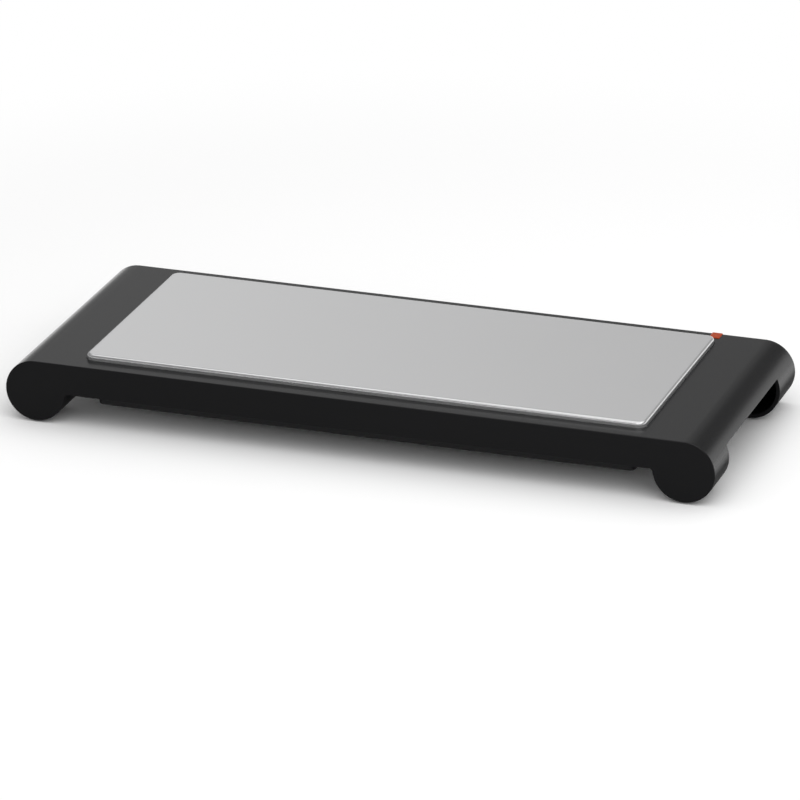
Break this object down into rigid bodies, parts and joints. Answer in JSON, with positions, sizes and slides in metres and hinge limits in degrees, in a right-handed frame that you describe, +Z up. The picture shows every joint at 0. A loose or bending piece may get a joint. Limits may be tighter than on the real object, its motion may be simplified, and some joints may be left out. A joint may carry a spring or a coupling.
{
  "type": "plate warmer",
  "caption": "Flat countertop plate warmer: a satin steel warming plate set in a low black casing with round-ended hollow feet, finger grips, an orange lamp and a rear switch.",
  "frame": {"origin": "under the middle of the casing, on the surface that the foot pads stand on", "axes": "+X along the length, to the right as seen from the front; the front faces -Y; +Z up"},
  "size_m": [0.5, 0.2022, 0.048],
  "materials": {
    "casing_black": "satin black moulding with a very fine grain",
    "plate_steel": "satin stainless steel, softly mirrored",
    "seal_grey": "matt silicone",
    "spreader_aluminium": "mill finish",
    "element_steel": "heat-darkened tube",
    "bead_ceramic": "white glazed ceramic",
    "plated_steel": "zinc plated",
    "shield_steel": "aluminised sheet",
    "mat_fibre": "needled glass fibre",
    "brass": "plain",
    "thermostat_black": "phenolic moulding",
    "fuse_case": "plated case",
    "rubber_black": "matt rubber",
    "lens_orange": "translucent orange moulding",
    "holder_white": "plain moulding",
    "lamp_glass": "clear neon envelope",
    "gland_black": "plain moulding",
    "switch_black": "polished moulding",
    "block_white": "plain moulding",
    "pan_black": "semi-matt black paint",
    "screw_black": "blacked steel",
    "lead_brown": "silicone insulation",
    "lead_blue": "silicone insulation",
    "lead_striped": "green and yellow insulation",
    "lead_white": "heat-proof sleeving"
  },
  "bodies": {
    "warmer": {"casing": "casing_black", "warming_plate": "plate_steel", "plate_seal": "seal_grey", "heat_spreader": "spreader_aluminium", "heating_element": "element_steel", "element_beads": "bead_ceramic", "element_pins": "plated_steel", "element_straps": "plated_steel", "plate_studs": "plated_steel", "strap_nuts": "plated_steel", "heat_shield": "shield_steel", "insulation_mat": "mat_fibre", "shield_washers": "plated_steel", "shield_nuts": "plated_steel", "earth_tag": "brass", "thermostat_cup": "spreader_aluminium", "thermostat_body": "thermostat_black", "thermostat_tabs": "brass", "thermostat_screws": "plated_steel", "thermal_fuse": "fuse_case", "fuse_clip": "plated_steel", "fuse_screw": "plated_steel", "shield_grommet": "rubber_black", "indicator_lens": "lens_orange", "lamp_holder": "holder_white", "neon_lamp": "lamp_glass", "cord_gland": "gland_black", "switch_body": "switch_black", "switch_tabs": "brass", "terminal_block": "block_white", "terminal_screws": "brass", "block_screw": "plated_steel", "base_pan": "pan_black", "base_screws": "screw_black", "foot_pad_front_left": "rubber_black", "foot_pad_front_right": "rubber_black", "foot_pad_rear_left": "rubber_black", "foot_pad_rear_right": "rubber_black", "lead_live": "lead_brown", "lead_switched": "lead_white", "lead_to_fuse": "lead_white", "lead_to_element": "lead_white", "lead_neutral": "lead_blue", "lead_earth": "lead_striped", "lead_lamp_switch": "lead_brown", "lead_lamp_neutral": "lead_blue"},
    "rocker": {"switch_rocker": "switch_black"}
  },
  "joints": [
    {"name": "power_switch", "type": "hinge", "parent": "warmer", "child": "rocker", "pos_m": [0.15, 0.0982, 0.0314], "axis": [0, 0, 1], "range_deg": [-22, 0]}
  ]
}
